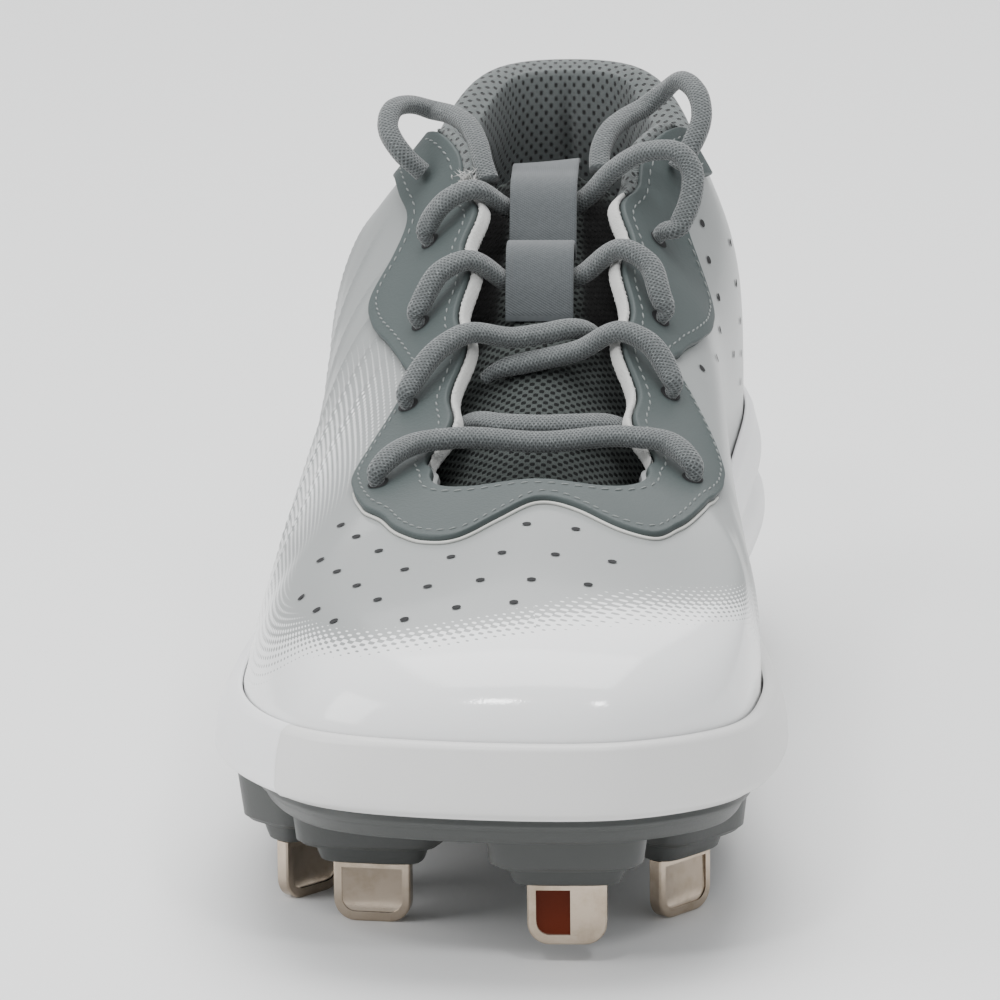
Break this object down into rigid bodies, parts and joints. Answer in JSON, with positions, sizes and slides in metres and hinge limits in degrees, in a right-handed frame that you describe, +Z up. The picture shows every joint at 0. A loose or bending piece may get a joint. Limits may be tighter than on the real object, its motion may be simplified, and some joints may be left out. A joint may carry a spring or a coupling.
{
  "type": "baseball cleat",
  "caption": "Low baseball shoe for a right foot: stitched synthetic upper, scalloped eyestay, laces, padded mesh collar, foam midsole and plate with metal studs.",
  "frame": {"origin": "on the ground under the middle of the shoe's box, studs standing on z = 0", "axes": "+Z up, +Y from toe to heel along the shoe, +X to the inner (medial) side of the foot"},
  "size_m": [0.1046, 0.296, 0.129],
  "materials": {
    "outsole_plate": "matte dark grey moulded plastic",
    "stud_toe": "polished nickel-plated steel",
    "stud_front_lateral": "polished nickel-plated steel",
    "stud_front_medial": "polished nickel-plated steel",
    "stud_side_lateral": "polished nickel-plated steel",
    "stud_ball_medial": "polished nickel-plated steel",
    "stud_ball_lateral": "polished nickel-plated steel",
    "stud_heel_medial": "polished nickel-plated steel",
    "stud_heel_lateral": "polished nickel-plated steel",
    "stud_heel_back": "polished nickel-plated steel",
    "midsole": "white satin foam",
    "upper": "light grey satin synthetic, fading to gloss white at the toe",
    "eyestay": "dark grey satin synthetic with stitched edges",
    "collar_pad": "grey spacer mesh over foam",
    "insole": "grey fabric over foam",
    "tongue": "grey spacer mesh over foam",
    "tongue_keeper": "grey twill webbing",
    "lace_row_1": "grey braided lace",
    "lace_row_2_over": "grey braided lace",
    "lace_row_2_under": "grey braided lace",
    "lace_row_3": "grey braided lace",
    "lace_row_4": "grey braided lace",
    "lace_loop_lateral": "grey braided lace",
    "lace_loop_medial": "grey braided lace"
  },
  "bodies": {
    "root": {"outsole_plate": "outsole_plate", "stud_toe": "stud_toe", "stud_front_lateral": "stud_front_lateral", "stud_front_medial": "stud_front_medial", "stud_side_lateral": "stud_side_lateral", "stud_ball_medial": "stud_ball_medial", "stud_ball_lateral": "stud_ball_lateral", "stud_heel_medial": "stud_heel_medial", "stud_heel_lateral": "stud_heel_lateral", "stud_heel_back": "stud_heel_back", "midsole": "midsole", "upper": "upper", "eyestay": "eyestay", "collar_pad": "collar_pad", "insole": "insole", "tongue": "tongue", "tongue_keeper": "tongue_keeper", "lace_row_1": "lace_row_1", "lace_row_2_over": "lace_row_2_over", "lace_row_2_under": "lace_row_2_under", "lace_row_3": "lace_row_3", "lace_row_4": "lace_row_4", "lace_loop_lateral": "lace_loop_lateral", "lace_loop_medial": "lace_loop_medial"}
  },
  "joints": []
}
